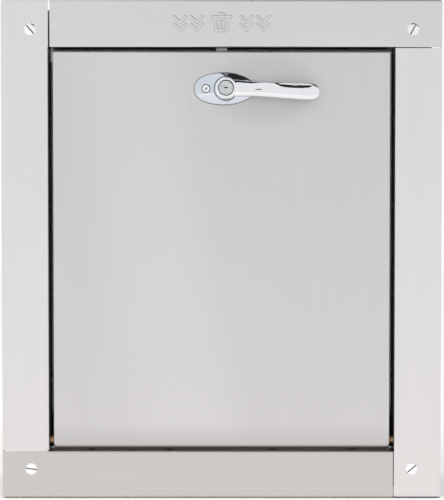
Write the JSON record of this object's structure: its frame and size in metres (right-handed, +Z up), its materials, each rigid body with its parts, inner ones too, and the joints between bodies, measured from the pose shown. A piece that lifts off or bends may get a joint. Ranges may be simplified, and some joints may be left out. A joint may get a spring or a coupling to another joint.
{
  "type": "rubbish chute intake door",
  "caption": "Bottom-hinged insulated rubbish chute intake door in a pinwheel steel face frame on a wall sleeve, with a lever handle, key lock, latch bolt and closer springs.",
  "frame": {"origin": "centre of the face frame in the wall plane, which is the middle of the rough opening", "axes": "+Z up, +X to the right of someone facing the door, +Y into the wall; the face looks along -Y"},
  "size_m": [0.498, 0.2477, 0.564],
  "materials": {
    "stainless": "fine brushed grain",
    "galvanised": "hot-dip galvanised, faint spangle",
    "zinc": "bright zinc plate",
    "rivet": "satin",
    "bronze": "oiled sintered bronze",
    "spring_steel": "oiled spring steel",
    "seal_rubber": "matt",
    "mineral_core": "fibrous board",
    "chrome": "polished chrome plate"
  },
  "bodies": {
    "frame": {"bracket_screws_left": "zinc", "bracket_screws_right": "zinc", "corner_clips": "galvanised", "corner_nuts": "zinc", "corner_screws": "zinc", "frame_rivets": "rivet", "hinge_bracket_left": "galvanised", "hinge_bracket_right": "galvanised", "hinge_bush_left": "bronze", "hinge_bush_right": "bronze", "rail_bottom": "stainless", "rail_top": "stainless", "sleeve_floor": "galvanised", "sleeve_rivets": "rivet", "sleeve_side_left": "galvanised", "sleeve_side_right": "galvanised", "sleeve_top": "galvanised", "smoke_seal_left": "seal_rubber", "smoke_seal_right": "seal_rubber", "smoke_seal_top": "seal_rubber", "stile_left": "stainless", "stile_right": "stainless", "stop_bolt_left": "zinc", "stop_bolt_right": "zinc", "stop_buffer_left": "seal_rubber", "stop_buffer_right": "seal_rubber", "stop_nut_left": "zinc", "stop_nut_right": "zinc", "strike_box": "galvanised", "strike_rivets": "rivet"},
    "door": {"leaf_front_pan": "stainless", "leaf_back_pan": "galvanised", "leaf_core": "mineral_core", "latch_cover": "galvanised", "latch_cover_screws": "zinc", "latch_case": "galvanised", "latch_spacers": "zinc", "latch_spring": "spring_steel", "handle_base": "chrome", "handle_base_screws": "chrome", "wing_left": "galvanised", "wing_right": "galvanised", "wing_rivets": "rivet", "hinge_block_left": "galvanised", "hinge_block_right": "galvanised", "hinge_pin_left": "zinc", "hinge_pin_right": "zinc", "closer_spring_left": "spring_steel", "closer_spring_right": "spring_steel"},
    "lever": {"lever_handle": "chrome", "spindle": "zinc", "spindle_clip": "zinc", "latch_cam": "zinc"},
    "lock": {"lock_plug": "chrome"},
    "bolt": {"latch_bolt": "zinc"}
  },
  "joints": [
    {"name": "door_swing", "type": "hinge", "parent": "frame", "child": "door", "pos_m": [0, -0.001, -0.2164], "axis": [1, 0, 0], "range_deg": [0, 45], "stiffness_Nm_per_rad": 14, "springref_deg": -17.19, "deforming": ["closer_spring_left", "closer_spring_right"]},
    {"name": "lever_turn", "type": "hinge", "parent": "door", "child": "lever", "pos_m": [0.005, -0.02, 0.182], "axis": [0, 1, 0], "range_deg": [0, 60], "stiffness_Nm_per_rad": 0.4, "springref_deg": -40.11},
    {"name": "lock_plug_turn", "type": "hinge", "parent": "lever", "child": "lock", "pos_m": [0.005, -0.035, 0.182], "axis": [0, 1, 0], "range_deg": [0, 90]},
    {"name": "bolt_slide", "type": "slide", "parent": "door", "child": "bolt", "axis": [0, 0, -1], "range_m": [0, 0.011], "deforming": ["latch_spring"]}
  ],
  "couplings": [
    {"joint": "bolt_slide", "follows": "lever_turn", "m_per_rad": 0.0105}
  ]
}
